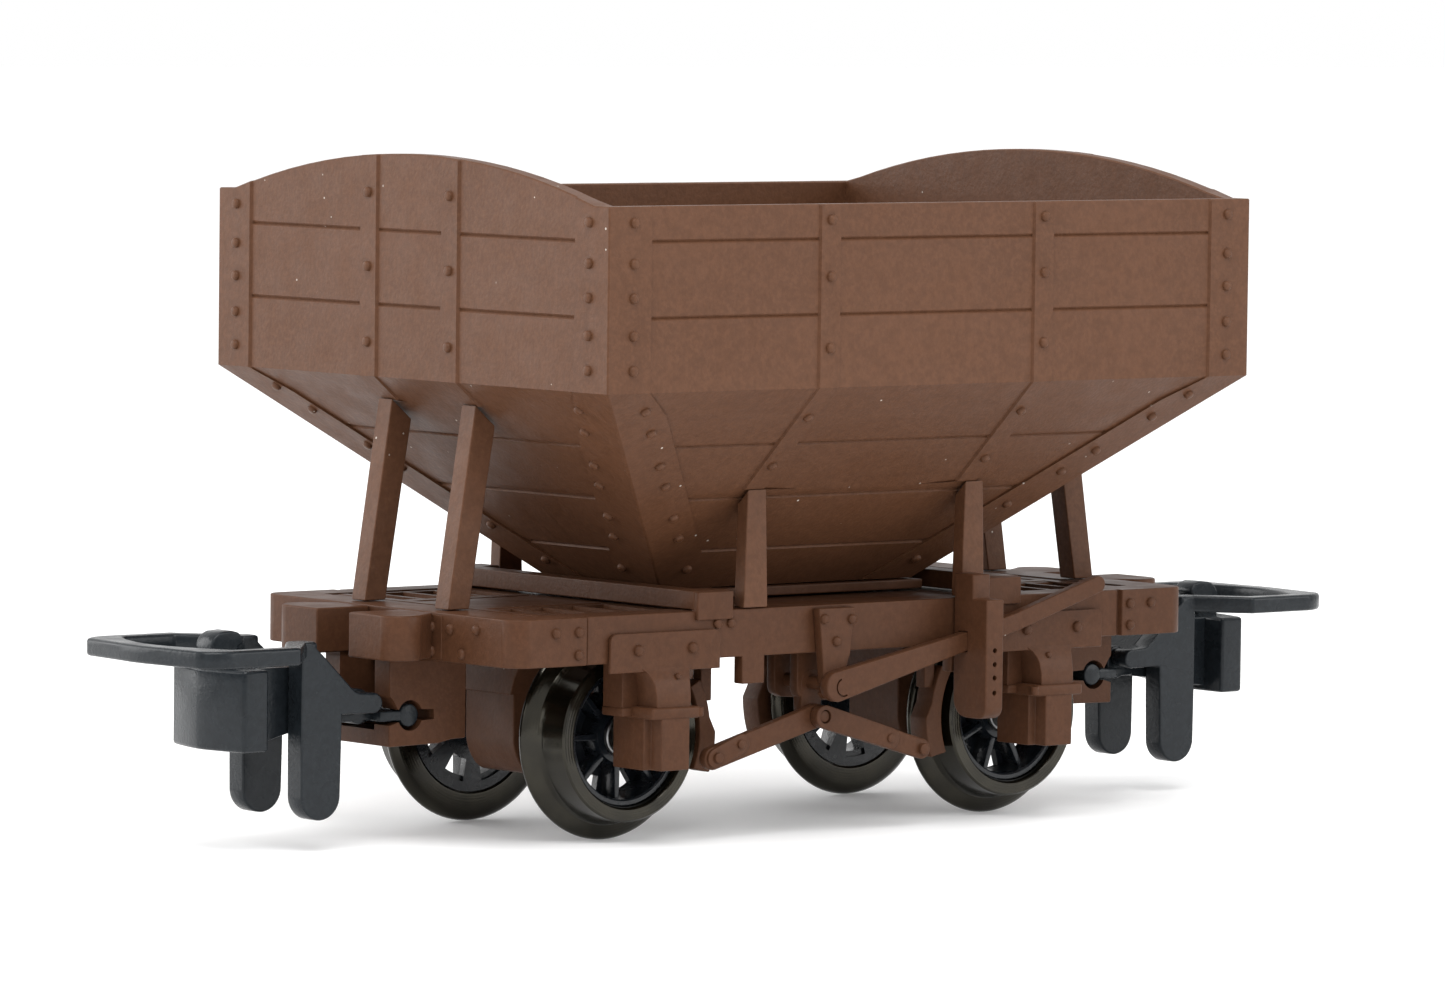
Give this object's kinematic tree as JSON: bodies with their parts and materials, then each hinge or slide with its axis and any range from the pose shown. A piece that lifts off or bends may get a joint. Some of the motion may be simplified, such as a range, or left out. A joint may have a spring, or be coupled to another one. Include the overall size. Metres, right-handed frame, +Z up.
{
  "type": "model railway hopper car",
  "caption": "Narrow-gauge model hopper car: open tub with sloping lower walls on a riveted frame, spoked wheels, outside brake gear and lifting loop couplers.",
  "frame": {"origin": "centre of the footprint, on the plane the wheel flanges stand on", "axes": "+X along the car towards the end called rear, +Y to the right of someone facing the front end, +Z up"},
  "size_m": [0.0548, 0.0234, 0.025],
  "materials": {
    "brown_plastic": "satin moulded plastic, warm dark brown",
    "coupler_plastic": "satin charcoal plastic",
    "black_plastic": "satin black plastic",
    "blackened_metal": "turned metal, chemically blackened",
    "steel": "plain steel"
  },
  "bodies": {
    "chassis": {"axle_block_front": "brown_plastic", "axle_block_rear": "brown_plastic", "axleguard_front_left": "brown_plastic", "axleguard_front_right": "brown_plastic", "axleguard_rear_left": "brown_plastic", "axleguard_rear_right": "brown_plastic", "ballast_weight": "steel", "bolster_front": "brown_plastic", "bolster_rear": "brown_plastic", "brake_crank_left": "brown_plastic", "brake_crank_right": "brown_plastic", "brake_hanger_left": "brown_plastic", "brake_hanger_right": "brown_plastic", "brake_lever_left": "brown_plastic", "brake_lever_right": "brown_plastic", "brake_shoe_front_left": "brown_plastic", "brake_shoe_front_right": "brown_plastic", "brake_shoe_rear_left": "brown_plastic", "brake_shoe_rear_right": "brown_plastic", "chassis_frame": "brown_plastic", "coupler_hook_front": "coupler_plastic", "coupler_hook_rear": "coupler_plastic", "coupler_pin_front": "coupler_plastic", "coupler_pin_rear": "coupler_plastic", "coupler_pocket_front": "brown_plastic", "coupler_pocket_rear": "brown_plastic", "deck_plate": "brown_plastic", "dumb_buffer_front_left": "brown_plastic", "dumb_buffer_front_right": "brown_plastic", "dumb_buffer_rear_left": "brown_plastic", "dumb_buffer_rear_right": "brown_plastic", "end_post_front_left": "brown_plastic", "end_post_front_right": "brown_plastic", "end_post_rear_left": "brown_plastic", "end_post_rear_right": "brown_plastic", "fixing_screw": "steel", "hopper_floor": "brown_plastic", "hopper_tub": "brown_plastic", "lever_guide_left": "brown_plastic", "lever_guide_right": "brown_plastic", "push_rod_inner_left": "brown_plastic", "push_rod_inner_right": "brown_plastic", "push_rod_outer_left": "brown_plastic", "push_rod_outer_right": "brown_plastic", "side_post_front_left": "brown_plastic", "side_post_front_right": "brown_plastic", "side_post_rear_left": "brown_plastic", "side_post_rear_right": "brown_plastic"},
    "wheelset_front": {"axle_front": "steel", "wheel_centre_front_left": "black_plastic", "wheel_centre_front_right": "black_plastic", "wheel_tyre_front_left": "blackened_metal", "wheel_tyre_front_right": "blackened_metal"},
    "wheelset_rear": {"axle_rear": "steel", "wheel_centre_rear_left": "black_plastic", "wheel_centre_rear_right": "black_plastic", "wheel_tyre_rear_left": "blackened_metal", "wheel_tyre_rear_right": "blackened_metal"},
    "loop_front": {"coupler_loop_front": "coupler_plastic"},
    "loop_rear": {"coupler_loop_rear": "coupler_plastic"}
  },
  "joints": [
    {"name": "wheelset_front_spin", "type": "hinge", "parent": "chassis", "child": "wheelset_front", "pos_m": [-0.00925, 0, 0.00387], "axis": [0, 1, 0], "continuous": true},
    {"name": "wheelset_rear_spin", "type": "hinge", "parent": "chassis", "child": "wheelset_rear", "pos_m": [0.00925, 0, 0.00387], "axis": [0, 1, 0], "continuous": true},
    {"name": "coupler_loop_front_lift", "type": "hinge", "parent": "chassis", "child": "loop_front", "pos_m": [-0.01835, 0, 0.00529], "axis": [0, 1, 0], "range_deg": [0, 28]},
    {"name": "coupler_loop_rear_lift", "type": "hinge", "parent": "chassis", "child": "loop_rear", "pos_m": [0.01835, 0, 0.00529], "axis": [0, -1, 0], "range_deg": [0, 28]}
  ]
}
